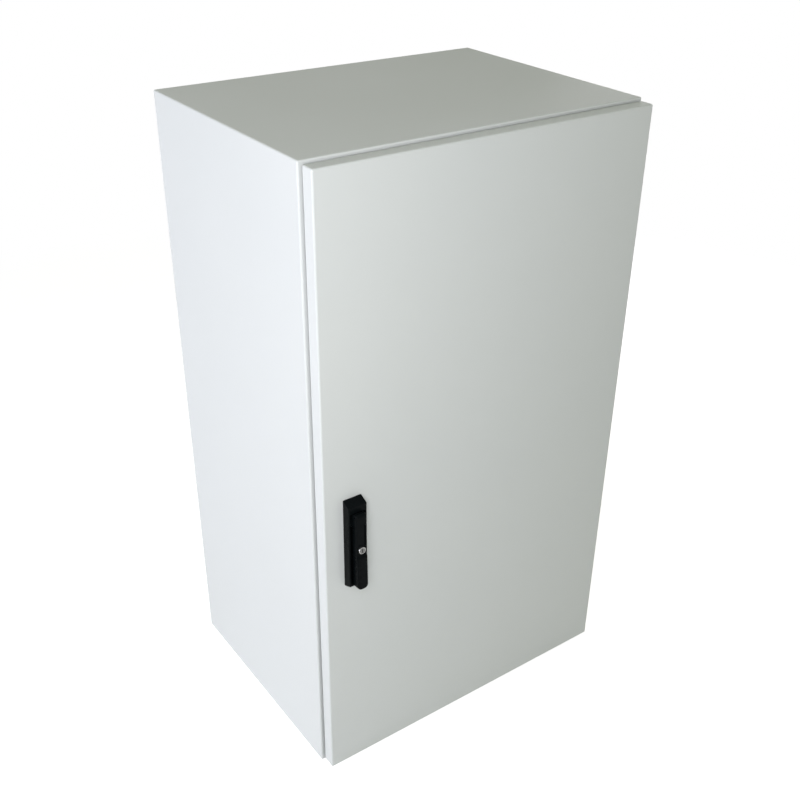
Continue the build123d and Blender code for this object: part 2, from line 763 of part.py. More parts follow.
with BuildPart() as lever:
    with BuildSketch(facing_front(lever_back_y)) as lever_outline:
        with Locations((handle_x, (lever_tip + cross_pin_z + pivot_radius) / 2)):
            Rectangle(lever_width, cross_pin_z + pivot_radius - lever_tip)
        fillet(lever_outline.vertices().group_by(Axis.Y)[-1], lever_corner)
        fillet(lever_outline.vertices().group_by(Axis.Y)[0], lever_width / 2 - lever_edge)
    extrude(amount=2 * lever_thickness, taper=lever_draft)
    with BuildSketch(Plane.YZ.offset(handle_x - lever_width / 2)):
        with BuildLine():
            top_round = ThreePointArc(
                (lever_back_y, cross_pin_z),
                (pin_y, cross_pin_z + pivot_radius),
                (lever_front_y, cross_pin_z),
            )
            upper_half = Line(top_round @ 1, (lever_front_y, scoop_bottom))
            step_out = TangentArc(
                upper_half @ 1,
                ((lever_front_y + grip_y) / 2, (scoop_bottom + grip_top) / 2),
                tangent=(0, -1),
            )
            step_over = TangentArc(step_out @ 1, (grip_y, grip_top), tangent=step_out % 1)
            grip = Line(step_over @ 1, (swell_y, lever_tip + lever_tip_round))
            tip = TangentArc(grip @ 1, (swell_y + lever_tip_round, lever_tip), tangent=grip % 1)
            tip_back = Line(tip @ 1, (lever_back_y, lever_tip))
            Line(tip_back @ 1, top_round @ 0)
        make_face()
    extrude(amount=lever_width, mode=Mode.INTERSECT)
    front_faces = lever.faces().filter_by(lambda face: face.normal_at().Y < -0.5)
    fillet(front_faces.edges().filter_by(Axis.X, reverse=True), lever_edge)
    with BuildSketch(facing_front(scoop_y)):
        with Locations((handle_x, lock_z)):
            Circle(scoop_radius)
        with Locations((handle_x, lock_z + scoop_rise)):
            Circle(scoop_radius)
        with Locations((handle_x, lock_z + scoop_rise / 2)):
            Rectangle(2 * scoop_radius, scoop_rise)
    extrude(amount=lever_thickness, mode=Mode.SUBTRACT)
    with BuildSketch(Plane.YZ.offset(handle_x - tongue_width / 2 - tongue_clearance)):
        with Locations((pin_y, cross_pin_z)):
            Circle(pocket_radius)
        Polygon(
            (pin_y, cross_pin_z + pocket_radius),
            (pin_y, cross_pin_z - pocket_radius),
            (lever_back_y, hub_z - hub_head_radius / 2),
            (lever_back_y, cross_pin_z + pocket_radius),
        )
    extrude(amount=tongue_width + 2 * tongue_clearance, mode=Mode.SUBTRACT)
    with BuildSketch(Plane.YZ.offset(handle_x - lever_width / 2)):
        with Locations((pin_y, cross_pin_z)):
            Circle(cross_pin_radius + cross_pin_clearance)
    extrude(amount=lever_width, mode=Mode.SUBTRACT)
    with BuildSketch(facing_front(lever_back_y)):
        with Locations((handle_x, lock_z)):
            Circle(lock_radius)
    extrude(amount=2 * lever_thickness, mode=Mode.SUBTRACT)
lever.part.label = "lever"
export_step(lever.part, "parts/lever.step")

with BuildPart() as cross_pin:
    with BuildSketch(Plane.YZ.offset(handle_x - lever_width / 2 + lever_edge)):
        with Locations((pin_y, cross_pin_z)):
            Circle(cross_pin_radius)
    extrude(amount=lever_width - 2 * lever_edge)
cross_pin.part.label = "cross_pin"
export_step(cross_pin.part, "parts/cross_pin.step")

# Lock: a barrel fixed in the lever and a plug that a key turns in it
lock_front_y = scoop_y - lock_proud

with BuildPart() as lock_barrel:
    with BuildSketch(facing_front(lever_back_y)):
        with Locations((handle_x, lock_z)):
            Circle(lock_radius)
            Circle(plug_radius + plug_clearance, mode=Mode.SUBTRACT)
    extrude(amount=lever_back_y - lock_front_y)
lock_barrel.part.label = "lock_barrel"
export_step(lock_barrel.part, "parts/lock_barrel.step")

with BuildPart() as key_plug:
    with BuildSketch(facing_front(lever_back_y)):
        with Locations((handle_x, lock_z)):
            Circle(plug_radius)
    extrude(amount=lever_back_y - lock_front_y)
    with BuildSketch(facing_front(lock_front_y)):
        with Locations((handle_x, lock_z)):
            Rectangle(keyway_width, keyway_length)
    extrude(amount=-keyway_depth, mode=Mode.SUBTRACT)
key_plug.part.label = "key_plug"
export_step(key_plug.part, "parts/key_plug.step")

# Pinion: involute teeth, each flank drawn from the base circle, over a plain root
pitch_radius = gear_module * gear_teeth / 2
base_radius = pitch_radius * cos(radians(gear_pressure))
tip_radius = pitch_radius + gear_module
root_radius = pitch_radius - gear_module - gear_root_gap
tooth_pitch = pi * gear_module
tooth_width = tooth_pitch / 2 - gear_backlash


def involute(radius):
    """The angle by which an involute flank has turned where it meets a radius."""
    roll = sqrt((radius / base_radius) ** 2 - 1)
    return roll - atan(roll)


def flank_angle(radius):
    """Half the angle that a tooth covers at a radius."""
    return tooth_width / (2 * pitch_radius) + involute(pitch_radius) - involute(radius)


flank_radii = [base_radius, pitch_radius, tip_radius]
upper_flank = [(r * cos(flank_angle(r)), r * sin(flank_angle(r))) for r in flank_radii]
lower_flank = [(x, -y) for x, y in reversed(upper_flank)]
root_x = root_radius * cos(flank_angle(base_radius)) - gear_root_gap
root_y = root_radius * sin(flank_angle(base_radius))
tooth_outline = [(root_x, root_y)] + upper_flank + lower_flank + [(root_x, -root_y)]

with BuildPart() as pinion:
    with BuildSketch(facing_front(rod_back_y)):
        with Locations((handle_x, hub_z)):
            Circle(root_radius)
            with PolarLocations(0, gear_teeth):
                Polygon(*tooth_outline)
            Rectangle(square_drive, square_drive, mode=Mode.SUBTRACT)
    extrude(amount=rod_thickness)
pinion.part.label = "pinion"
export_step(pinion.part, "parts/pinion.step")

# Rods: flat bars with rack teeth beside the pinion. The upper one runs down on the left as the hub turns,
# the lower one up on the right, and both end just short of the rim
rack_root = pitch_radius + gear_module + gear_root_gap
rack_tip = pitch_radius - gear_module
flank_run = tan(radians(gear_pressure))
tooth_at_root = tooth_width / 2 + (gear_module + gear_root_gap) * flank_run
tooth_at_tip = tooth_width / 2 - gear_module * flank_run
rod_middle = rack_root + rod_width / 2
rod_travel = pitch_radius * pi / 2
rod_reach_z = opening_height / 2 - rod_end_clearance

rods = [("upper", -1, 1), ("lower", 1, -1)]
for end, hand, way in rods:
    rod_tip_z = middle_z + way * rod_reach_z
    rod_tail_z = hub_z - way * rod_tail
    with BuildPart() as rod:
        with BuildSketch(facing_front(rod_back_y)):
            with Locations((handle_x + hand * rod_middle, (rod_tip_z + rod_tail_z) / 2)):
                Rectangle(rod_width, abs(rod_tip_z - rod_tail_z))
            for number in range(rack_teeth):
                tooth_z = hub_z + way * (number - teeth_past_hub) * tooth_pitch
                root_side = handle_x + hand * rack_root
                tip_side = handle_x + hand * rack_tip
                Polygon(
                    (root_side, tooth_z - tooth_at_root),
                    (tip_side, tooth_z - tooth_at_tip),
                    (tip_side, tooth_z + tooth_at_tip),
                    (root_side, tooth_z + tooth_at_root),
                )
        extrude(amount=rod_thickness)
    rod.part.label = f"rod_{end}"
    export_step(rod.part, f"parts/rod_{end}.step")

# Gearbox: a die-cast case on a pedestal, open at both ends for the rods, closed by a plate
rod_channel = 2 * (rod_middle + rod_width / 2 + rod_clearance)
case_width = rod_channel + 2 * case_wall

with BuildPart() as gearbox_case:
    with BuildSketch(facing_front(leaf_y)):
        with Locations((handle_x, hub_z)):
            Rectangle(2 * pedestal_half_width, 2 * case_half_height)
    extrude(amount=-(case_floor_y - case_front_wall - leaf_y))
    with BuildSketch(facing_front(case_floor_y - case_front_wall)):
        with Locations((handle_x, hub_z)):
            Rectangle(case_width, 2 * case_half_height)
    extrude(amount=-(case_back_y - case_floor_y + case_front_wall))
    with BuildSketch(facing_front(case_floor_y)):
        with Locations((handle_x, hub_z)):
            Circle(tip_radius + rod_clearance)
            with GridLocations(2 * rod_middle, 0, 2, 1):
                Rectangle(rod_width + 2 * rod_clearance, 2 * case_half_height)
            Rectangle(2 * rod_middle, 2 * tip_radius)
            with GridLocations(2 * (rod_middle - rod_width / 2), 0, 2, 1):
                Rectangle(2 * (rack_root - rack_tip + rod_clearance), 2 * case_half_height)
    extrude(amount=-(case_back_y - case_floor_y), mode=Mode.SUBTRACT)
    with BuildSketch(facing_front(leaf_y)):
        with Locations((handle_x, hub_z)):
            Circle(hub_shaft_radius + hub_shaft_clearance)
    extrude(amount=-(case_floor_y - leaf_y), mode=Mode.SUBTRACT)
gearbox_case.part.label = "gearbox_case"
export_step(gearbox_case.part, "parts/gearbox_case.step")

with BuildPart() as gearbox_cover:
    with BuildSketch(facing_front(case_back_y)):
        with Locations((handle_x, hub_z)):
            Rectangle(case_width, 2 * case_half_height)
            Circle(square_drive, mode=Mode.SUBTRACT)
    extrude(amount=-case_cover)
gearbox_cover.part.label = "gearbox_cover"
export_step(gearbox_cover.part, "parts/gearbox_cover.step")

# Cam: a short finger on the square drive, turned towards the lock-side rim, and its bolt
lock_rim_x = -opening_width / 2
cam_reach = handle_x - lock_rim_x - cam_side_clearance

with BuildPart() as latch_cam:
    with BuildSketch(facing_front(square_end_y)):
        with Locations((handle_x, hub_z)):
            Circle(cam_hub_radius)
            Rectangle(square_drive, square_drive, mode=Mode.SUBTRACT)
        with Locations((handle_x - (cam_half_width + cam_reach) / 2, hub_z)):
            Rectangle(cam_reach - cam_half_width, 2 * cam_half_width)
    extrude(amount=cam_thickness)
latch_cam.part.label = "latch_cam"
export_step(latch_cam.part, "parts/latch_cam.step")

with BuildPart() as cam_bolt:
    with BuildSketch(facing_front(square_end_y + cam_bolt_head)):
        with Locations((handle_x, hub_z)):
            RegularPolygon(cam_bolt_radius, 6)
    extrude(amount=cam_bolt_head)
cam_bolt.part.label = "cam_bolt"
export_step(cam_bolt.part, "parts/cam_bolt.step")

# Rod guides: moulded brackets on the leaf with a window round each rod
guide_places = [
    ("upper", -1, body_height - rim_width - guide_end_margin),
    ("lower", 1, rim_width + guide_end_margin),
]
window_width = rod_width + 2 * rod_clearance
window_depth = rod_thickness + 2 * rod_clearance

for end, hand, height in guide_places:
    rod_x = handle_x + hand * rod_middle
    rod_y = (rod_front_y + rod_back_y) / 2
    with BuildPart() as rod_guide:
        with BuildSketch(Plane.XY.offset(height - guide_height / 2)):
            with Locations((handle_x - hand * guide_foot_shift, leaf_y + guide_base_thickness / 2)):
                Rectangle(guide_foot_width, guide_base_thickness)
            with Locations((handle_x + hand * guide_post_offset, (leaf_y + rod_y) / 2)):
                Rectangle(guide_post_width, rod_y - leaf_y)
            with Locations((rod_x, rod_y)):
                Rectangle(window_width + 2 * guide_wall, window_depth + 2 * guide_wall)
                Rectangle(window_width, window_depth, mode=Mode.SUBTRACT)
        extrude(amount=guide_height)
    rod_guide.part.label = f"rod_guide_{end}"
    export_step(rod_guide.part, f"parts/rod_guide_{end}.step")

# Cap nuts that hold the hinge leaves on studs welded to the door, and the door's earth stud with its nut
with BuildPart() as hinge_leaf_nuts:
    with BuildSketch(facing_front(leaf_plate_y)):
        for height in hinge_heights:
            with Locations((hinge_x - hinge_stud_offset, height)):
                with GridLocations(0, hinge_stud_spacing, 1, 2):
                    RegularPolygon(nut_across / 2, 6, major_radius=False)
    extrude(amount=-nut_height)
hinge_leaf_nuts.part.label = "hinge_leaf_nuts"
export_step(hinge_leaf_nuts.part, "parts/hinge_leaf_nuts.step")

door_earth_x = stiffener_places[1][1] - door_earth_from_stiffener

with BuildPart() as door_earth_stud:
    with BuildSketch(facing_front(leaf_y)):
        with Locations((door_earth_x, door_earth_z)):
            Circle(stud_radius)
    extrude(amount=-earth_stud_length / 2)
door_earth_stud.part.label = "door_earth_stud"
export_step(door_earth_stud.part, "parts/door_earth_stud.step")

with BuildPart() as door_earth_nut:
    with BuildSketch(facing_front(leaf_y)):
        with Locations((door_earth_x, door_earth_z)):
            RegularPolygon(nut_across / 2, 6, major_radius=False)
            Circle(stud_radius, mode=Mode.SUBTRACT)
    extrude(amount=-nut_height)
door_earth_nut.part.label = "door_earth_nut"
export_step(door_earth_nut.part, "parts/door_earth_nut.step")
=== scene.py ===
import bpy
import bmesh
import json
from math import cos, pi, radians, sin
from mathutils import Matrix, Vector


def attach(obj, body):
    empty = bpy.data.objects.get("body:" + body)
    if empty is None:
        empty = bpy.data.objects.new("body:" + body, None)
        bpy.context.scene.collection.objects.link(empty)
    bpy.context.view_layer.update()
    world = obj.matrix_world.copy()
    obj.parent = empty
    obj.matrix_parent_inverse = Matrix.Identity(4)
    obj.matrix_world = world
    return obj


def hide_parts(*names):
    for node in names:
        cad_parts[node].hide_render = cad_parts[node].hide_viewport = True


# Outdoor rack cabinet: light grey powder-coated steel, black swing handle, zinc-plated fittings inside.
# X runs right, Y to the rear, Z up. The camera, the lamps and the floor are in metres, the pieces' sizes
# in millimetres.

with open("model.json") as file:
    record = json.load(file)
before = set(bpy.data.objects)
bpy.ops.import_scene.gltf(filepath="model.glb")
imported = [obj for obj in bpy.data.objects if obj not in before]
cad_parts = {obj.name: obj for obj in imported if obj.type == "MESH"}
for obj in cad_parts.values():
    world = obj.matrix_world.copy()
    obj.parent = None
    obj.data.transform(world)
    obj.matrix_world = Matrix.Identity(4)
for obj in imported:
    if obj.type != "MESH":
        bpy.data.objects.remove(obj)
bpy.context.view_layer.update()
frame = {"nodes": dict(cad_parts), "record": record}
nodes = frame["nodes"]
record = frame["record"]
scene = bpy.context.scene
print("frame loaded:", len(nodes), "nodes")

# Camera
view = {
    "azimuth": -36.53,  # degrees from straight in front, to the left
    "elevation": 30.68,
    "roll": 1.17,
    "place": (-0.9257, -1.3159, 1.4333),
    "lens": 47.28,
    "sensor": 36,
    "shift": (-0.0231, 0.0257),
    "nearest": 0.02,
}

cameraData = bpy.data.cameras.new("camera")
camera = bpy.data.objects.new("camera", cameraData)
scene.collection.objects.link(camera)
scene.camera = camera
turn = Matrix.Rotation(radians(view["azimuth"]), 4, "Z")
tilt = Matrix.Rotation(radians(90 - view["elevation"]), 4, "X")
roll = Matrix.Rotation(radians(view["roll"]), 4, "Z")
camera.matrix_world = Matrix.Translation(view["place"]) @ turn @ tilt @ roll
cameraData.lens = view["lens"]
cameraData.sensor_width = view["sensor"]
cameraData.shift_x, cameraData.shift_y = view["shift"]
cameraData.clip_start = view["nearest"]
print("camera set")


def addNode(tree, kind, inputs=None, **settings):
    node = tree.nodes.new(kind)
    for name, value in settings.items():
        setattr(node, name, value)
    for name, value in (inputs or {}).items():
        node.inputs[name].default_value = value
    return node


def newTree(owner):
    owner.use_nodes = True
    return owner.node_tree


def objectPlace(tree):
    return addNode(tree, "ShaderNodeTexCoord").outputs["Object"]


def noiseOf(tree, place, scale, detail=2.0):
    noise = addNode(tree, "ShaderNodeTexNoise", {"Scale": scale, "Detail": detail, "Roughness": 0.5})
    tree.links.new(place, noise.inputs["Vector"])
    return noise.outputs["Fac"]


def spread(tree, value, low, high, start=0.3, end=0.7):  # noise stays mostly within 0.3 to 0.7
    limits = {"From Min": start, "From Max": end, "To Min": low, "To Max": high}
    ramp = addNode(tree, "ShaderNodeMapRange", limits)
    tree.links.new(value, ramp.inputs["Value"])
    return ramp.outputs["Result"]


def twoTone(tree, value, first, second):
    mix = addNode(tree, "ShaderNodeMix", data_type="RGBA")
    mix.inputs["A"].default_value = (*first, 1)
    mix.inputs["B"].default_value = (*second, 1)
    tree.links.new(value, mix.inputs["Factor"])
    return mix.outputs["Result"]


def surface(name, finish):
    material = bpy.data.materials.new(name)
    tree = newTree(material)
    shader = tree.nodes["Principled BSDF"]
    place = objectPlace(tree)
    patch = noiseOf(tree, place, finish["patchScale"], detail=3.0)
    tone = spread(tree, patch, 0, 1)
    if "spangle" in finish:  # crystals of hot-dip zinc
        cells = addNode(tree, "ShaderNodeTexVoronoi", {"Scale": finish["spangle"]})
        tree.links.new(place, cells.inputs["Vector"])
        split = addNode(tree, "ShaderNodeSeparateColor")
        tree.links.new(cells.outputs["Color"], split.inputs["Color"])
        tone = split.outputs["Red"]
    tree.links.new(twoTone(tree, tone, finish["color"], finish["otherColor"]), shader.inputs["Base Color"])
    tree.links.new(spread(tree, patch, *finish["roughness"]), shader.inputs["Roughness"])
    bump = addNode(tree, "ShaderNodeBump", {"Strength": 1.0, "Distance": finish["grainDepth"]})
    tree.links.new(noiseOf(tree, place, finish["grainScale"]), bump.inputs["Height"])
    tree.links.new(bump.outputs["Normal"], shader.inputs["Normal"])
    shader.inputs["Metallic"].default_value = finish.get("metallic", 0)
    shader.inputs["Specular IOR Level"].default_value = finish.get("gloss", 0.5)
    return material


finishes = {  # scales per metre, depths in metres
    "grey_powder_coat": {
        "color": (0.604, 0.640, 0.640), "otherColor": (0.622, 0.656, 0.652), "patchScale": 2.5,
        "grainScale": 520, "grainDepth": 0.00008, "roughness": (0.36, 0.44),
    },
    "zinc_steel": {  # bright zinc plate on the fittings
        "color": (0.56, 0.58, 0.61), "otherColor": (0.63, 0.635, 0.63), "patchScale": 55,
        "grainScale": 2400, "grainDepth": 0.000012, "roughness": (0.24, 0.36), "metallic": 1.0,
    },
    "galvanised_sheet": {  # hot-dip zinc on rails, bars, stiffeners and the gland plate
        "color": (0.55, 0.57, 0.59), "otherColor": (0.62, 0.635, 0.645), "patchScale": 18, "spangle": 150,
        "grainScale": 900, "grainDepth": 0.00002, "roughness": (0.34, 0.46), "metallic": 0.75,
    },
    "earth_brass": {
        "color": (0.70, 0.52, 0.25), "otherColor": (0.78, 0.62, 0.34), "patchScale": 90,
        "grainScale": 2500, "grainDepth": 0.00001, "roughness": (0.24, 0.34), "metallic": 1.0,
    },
    "seal_foam": {
        "color": (0.022, 0.022, 0.023), "otherColor": (0.04, 0.04, 0.041), "patchScale": 60,
        "grainScale": 1300, "grainDepth": 0.0003, "roughness": (0.8, 0.92), "gloss": 0.3,
    },
    "black_rubber": {
        "color": (0.017, 0.017, 0.018), "otherColor": (0.027, 0.027, 0.028), "patchScale": 40,
        "grainScale": 900, "grainDepth": 0.00005, "roughness": (0.5, 0.64), "gloss": 0.4,
    },
    "black_cast": {
        "color": (0.0018, 0.0027, 0.0031), "otherColor": (0.0034, 0.0048, 0.0054), "patchScale": 25,
        "grainScale": 1500, "grainDepth": 0.00004, "roughness": (0.26, 0.36), "gloss": 0.03,
    },
    "guide_nylon": {
        "color": (0.026, 0.026, 0.027), "otherColor": (0.036, 0.036, 0.037), "patchScale": 60,
        "grainScale": 1700, "grainDepth": 0.00003, "roughness": (0.42, 0.52), "gloss": 0.45,
    },
    "lock_nickel": {
        "color": (0.29, 0.295, 0.29), "otherColor": (0.40, 0.40, 0.39), "patchScale": 260,
        "grainScale": 3000, "grainDepth": 0.00001, "roughness": (0.16, 0.26), "metallic": 1.0,
    },
    "plug_face": {  # die-cast plug, dulled by keys
        "color": (0.13, 0.135, 0.135), "otherColor": (0.22, 0.22, 0.215), "patchScale": 320,
        "grainScale": 4200, "grainDepth": 0.00001, "roughness": (0.3, 0.46), "metallic": 1.0,
    },
}

materials = {slot: surface(slot.title().replace("_", ""), finish) for slot, finish in finishes.items()}
slotOf = {part["node"]: part["material_slot"] for part in record["subparts"]}
sheetNames = ("rack_rail", "depth_bar", "door_stiffener", "gland_plate")
for name, piece in nodes.items():
    material = materials["galvanised_sheet" if name.startswith(sheetNames) else slotOf[name]]
    if piece.material_slots:
        for place in piece.material_slots:
            place.material = material
    else:
        piece.data.materials.append(material)
print("materials on", len(nodes), "nodes")

mm = 0.001
tiny = 1e-7  # metres
sharpAngle = radians(32)  # flatter edges are shaded smooth
right, front, rear, up = (1, 0, 0), (0, -1, 0), (0, 1, 0), (0, 0, 1)
sides = (-1, 1)

# Places in the CAD that several pieces share
barLevels = (84, 525, 966)
hingeLevels = (150, 900)
handleX, turnZ, lockZ = -246.5, 512, 465
doorInside = -237  # Y of the door sheet's inner face


def vertsIn(geom):
    return [item for item in geom if isinstance(item, bmesh.types.BMVert)]


def edgesIn(geom):
    return [item for item in geom if isinstance(item, bmesh.types.BMEdge)]


def keep(name, shape, slot, body, *standsFor, finish=None):  # finished mesh, riding on its body
    bmesh.ops.remove_doubles(shape, verts=shape.verts, dist=10 * tiny)
    bmesh.ops.recalc_face_normals(shape, faces=shape.faces)
    for face in shape.faces:
        face.smooth = True
    for edge in shape.edges:
        edge.smooth = edge.calc_face_angle(0) < sharpAngle
    mesh = bpy.data.meshes.new(name)
    shape.to_mesh(mesh)
    shape.free()
    mesh.materials.append(materials[finish or slot])
    piece = bpy.data.objects.new(name, mesh)
    scene.collection.objects.link(piece)
    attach(piece, body)
    if standsFor:
        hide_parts(*standsFor)


def turned(shape, profile, closed=False, segments=32):  # profile of (radius, height), spun about Z
    verts = [shape.verts.new((radius * mm, 0, height * mm)) for radius, height in profile]
    pairs = list(zip(verts, verts[1:])) + ([(verts[-1], verts[0])] if closed else [])
    edges = [shape.edges.new(pair) for pair in pairs]
    bmesh.ops.spin(
        shape, geom=verts + edges, cent=(0, 0, 0), axis=(0, 0, 1), angle=2 * pi, steps=segments,
        use_merge=True)
    bmesh.ops.remove_doubles(shape, verts=shape.verts, dist=tiny)


def prism(shape, segments, radius, height):  # upright, with its base at zero
    disc = bmesh.ops.create_circle(shape, cap_ends=True, segments=segments, radius=radius * mm)["verts"]
    top = vertsIn(bmesh.ops.extrude_face_region(shape, geom=[disc[0].link_faces[0]])["geom"])
    bmesh.ops.translate(shape, verts=top, vec=(0, 0, height * mm))
    return top + disc


def hexagon(shape, across, low, high, softness=0.35):  # hexagonal block with softened edges
    whole = prism(shape, 6, across / 2 / cos(pi / 6), high - low)
    bmesh.ops.translate(shape, verts=whole, vec=(0, 0, low * mm))
    whole = set(whole)
    bmesh.ops.bevel(
        shape, geom=[edge for edge in shape.edges if set(edge.verts) <= whole], offset=softness * mm,
        offset_type="OFFSET", affect="EDGES", segments=2, profile=0.5, material=-1)


thread = {"pitch": 0.8, "depth": 0.42, "endLength": 0.3, "endDrop": 0.9, "segments": 24}


def threadedRod(shape, radius, low, high):  # ridges, chamfered at the free end
    root, pitch = radius - thread["depth"], thread["pitch"]
    profile = [(0, low), (root, low)]
    for ridge in range(int((high - low) / pitch) - 1):
        profile += [(radius, low + (ridge + 0.5) * pitch), (root, low + (ridge + 1) * pitch)]
    profile += [(root, high - thread["endLength"]), (radius - thread["endDrop"], high), (0, high)]
    turned(shape, profile, segments=thread["segments"])


def sunkSocket(shape, height, across, depth, rimShare=0.2):  # closes the top, with a hexagonal socket in it
    rim = [edge for edge in shape.edges if all(abs(vert.co.z - height * mm) < tiny for vert in edge.verts)]
    top = bmesh.ops.contextual_create(shape, geom=rim)["faces"][0]
    bmesh.ops.inset_region(shape, faces=[top], thickness=rimShare * across * mm, use_even_offset=True)
    for vert in top.verts:
        angle = Vector((1, 0)).angle_signed(vert.co.xy) % (pi / 3) - pi / 6
        vert.co.xy = vert.co.xy.normalized() * across * mm / 2 / cos(angle)
    floor = vertsIn(bmesh.ops.extrude_face_region(shape, geom=[top])["geom"])
    bmesh.ops.translate(shape, verts=floor, vec=(0, 0, -depth * mm))
    bmesh.ops.delete(shape, geom=[top], context="FACES_ONLY")


def atEach(shape, spots):  # copies of the shape, its Z turned to each direction
    pattern = shape.verts[:] + shape.edges[:] + shape.faces[:]
    first = shape.verts[:]
    for place, direction in spots:
        verts = vertsIn(bmesh.ops.duplicate(shape, geom=pattern)["geom"])
        turn = Vector(direction).to_track_quat("Z", "Y").to_matrix().to_4x4()
        bmesh.ops.transform(shape, matrix=Matrix.Translation(Vector(place) * mm) @ turn, verts=verts)
    bmesh.ops.delete(shape, geom=first, context="VERTS")
    return shape


# Nuts on welded studs: washer, hexagon nut and the stud's threaded end. The handle's nuts are low and blind
nut = {
    "across": 8, "height": 4, "lowHeight": 2.5, "washer": 5.2, "washerThickness": 0.8, "washerEdge": 0.2,
    "stud": 2.5, "standOut": 1.6, "sunk": 0.5,
}
nutSets = {
    "bar_nuts": {
        "body": "cabinet",
        "spots": [
            ((side * 296.5, y, z), (-side, 0, 0)) for side in sides for y in (-120, 120) for z in barLevels],
    },
    "rail_nuts": {
        "body": "cabinet",
        "spots": [((side * 249, -125.5, z), (side, 0, 0)) for side in sides for z in barLevels],
    },
    "hinge_leaf_nuts": {
        "body": "door",
        "spots": [((281, doorInside + 1.5, z + end * 25), rear) for z in hingeLevels for end in sides],
    },
    "handle_screws": {
        "body": "door", "blind": True,
        "spots": [((handleX, doorInside, z), rear) for z in (405.5, 447.5)],
    },
}

for node, nutSet in nutSets.items():
    blind = nutSet.get("blind", False)
    tall = nut["lowHeight"] if blind else nut["height"]
    shape = bmesh.new()
    turned(shape, [
        (0, 0), (nut["washer"], 0), (nut["washer"], nut["washerThickness"] - nut["washerEdge"]),
        (nut["washer"] - nut["washerEdge"], nut["washerThickness"]), (0, nut["washerThickness"]),
    ])
    hexagon(shape, nut["across"], nut["washerThickness"], tall)
    if not blind:
        threadedRod(shape, nut["stud"], tall - nut["sunk"], tall + nut["standOut"])
    name = node.replace("_", "-") + "-detailed"
    keep(name, atEach(shape, nutSet["spots"]), "zinc_steel", nutSet["body"], node)
print("nuts made")

# Hexagon bolts of the rails, screws of the gland plate and the cam's bolt, each with a raised stamp
stamp = {"radius": 2.6, "topRadius": 2.2, "rise": 0.15, "sunk": 0.1}
flange = {"edge": 0.4, "height": 1.1, "overlap": 0.2}
bolts = {
    "rail_bolts": {
        "body": "cabinet", "across": 8, "height": 4, "flange": 5.4, "shank": 2.4, "length": 4,
        "spots": [((side * 245, -125.5, z), (-side, 0, 0)) for side in sides for z in barLevels],
    },
    "gland_screws": {
        "body": "cabinet", "across": 7.9, "height": 3.5, "flange": 5.6, "shank": 2.3, "length": 6.4,
        "spots": [((x, y, 6.5), up) for x in (-180, 180) for y in (0, 120)],
    },
    "cam_bolt": {
        "body": "hub", "across": 11, "height": 3, "flange": 6.3, "shank": 2.5, "length": 0.1,
        "spots": [((handleX, -198.4, turnZ), rear)],
    },
}

for node, bolt in bolts.items():
    shape = bmesh.new()
    turned(shape, [
        (0, -bolt["length"]), (bolt["shank"], -bolt["length"]), (bolt["shank"], 0), (bolt["flange"], 0),
        (bolt["flange"], flange["edge"]), (bolt["across"] / 2, flange["height"]), (0, flange["height"]),
    ])
    hexagon(shape, bolt["across"], flange["height"] - flange["overlap"], bolt["height"])
    foot, crown = bolt["height"] - stamp["sunk"], bolt["height"] + stamp["rise"]
    turned(shape, [(0, foot), (stamp["radius"], foot), (stamp["topRadius"], crown), (0, crown)])
    name = node.replace("_", "-") + "-detailed"
    keep(name, atEach(shape, bolt["spots"]), "zinc_steel", bolt["body"], node)
print("bolts made")

# Countersunk screws with a hexagonal socket, in the feet of the hinge arms
sunkScrew = {
    "head": 3.75, "shank": 1.95, "length": 3, "edge": 0.15, "neck": 0.1, "socket": 3, "socketDepth": 1.6,
    "segments": 24,
    "spots": [((275.5, -214.5, z + end * 21), front) for z in hingeLevels for end in sides],
}
shape = bmesh.new()
neck = sunkScrew["shank"] - sunkScrew["head"] - sunkScrew["neck"]
turned(shape, [
    (0, -sunkScrew["length"]), (sunkScrew["shank"], -sunkScrew["length"]), (sunkScrew["shank"], neck),
    (sunkScrew["head"], -sunkScrew["edge"]), (sunkScrew["head"] - sunkScrew["edge"], 0),
], segments=sunkScrew["segments"])
sunkSocket(shape, 0, sunkScrew["socket"], sunkScrew["socketDepth"])
keep(
    "hinge-arm-screws-detailed", atEach(shape, sunkScrew["spots"]), "zinc_steel", "cabinet",
    "hinge_arm_screws")

# Low cylinder-head screws that close the gearbox
caseScrew = {
    "head": 2.8, "height": 2, "edge": 0.3, "socket": 2.5, "socketDepth": 1.2, "segments": 24,
    "spots": [((handleX, -201.7, turnZ + end * 25.5), rear) for end in sides],
}
shape = bmesh.new()
turned(shape, [
    (0, 0), (caseScrew["head"], 0), (caseScrew["head"], caseScrew["height"] - caseScrew["edge"]),
    (caseScrew["head"] - caseScrew["edge"], caseScrew["height"]),
], segments=caseScrew["segments"])
sunkSocket(shape, caseScrew["height"], caseScrew["socket"], caseScrew["socketDepth"])
keep("gearbox-screws", atEach(shape, caseScrew["spots"]), "zinc_steel", "door")
print("socket screws made")

